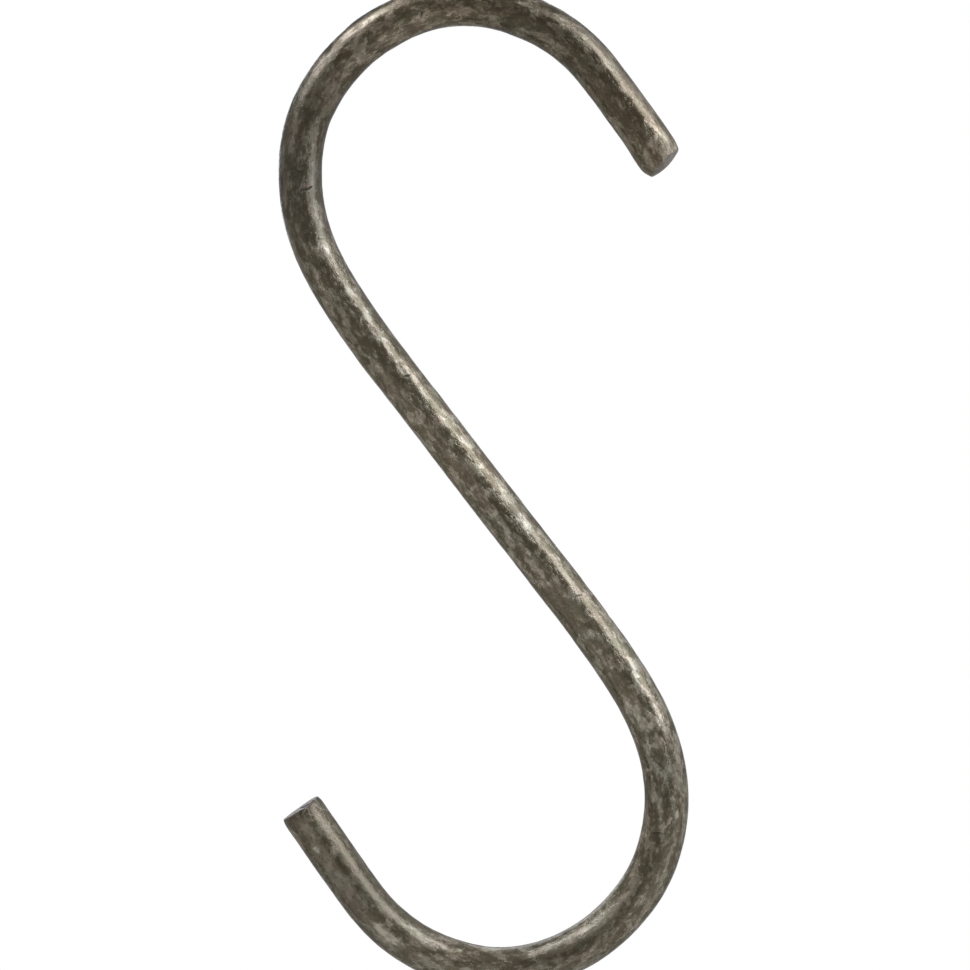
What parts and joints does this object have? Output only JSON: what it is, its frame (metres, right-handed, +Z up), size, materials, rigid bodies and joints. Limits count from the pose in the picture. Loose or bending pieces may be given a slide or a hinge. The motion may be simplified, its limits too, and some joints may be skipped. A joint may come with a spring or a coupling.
{
  "type": "s hook",
  "caption": "S-shaped hook bent from one round steel rod: the upper bowl hangs over a rail and the lower bowl carries a load.",
  "frame": {"origin": "where a rail bears, at the top of the inside of the upper bowl", "axes": "+Z up along the load line through the centres of both bowls; +X the way the upper bowl opens; the rod is bent in the XZ plane, and -Y is the front"},
  "size_m": [0.05, 0.005, 0.1164],
  "materials": {
    "aged_steel": "dull dark pewter steel with a mottled oxide skin"
  },
  "bodies": {
    "root": {"hook": "aged_steel"}
  },
  "joints": []
}
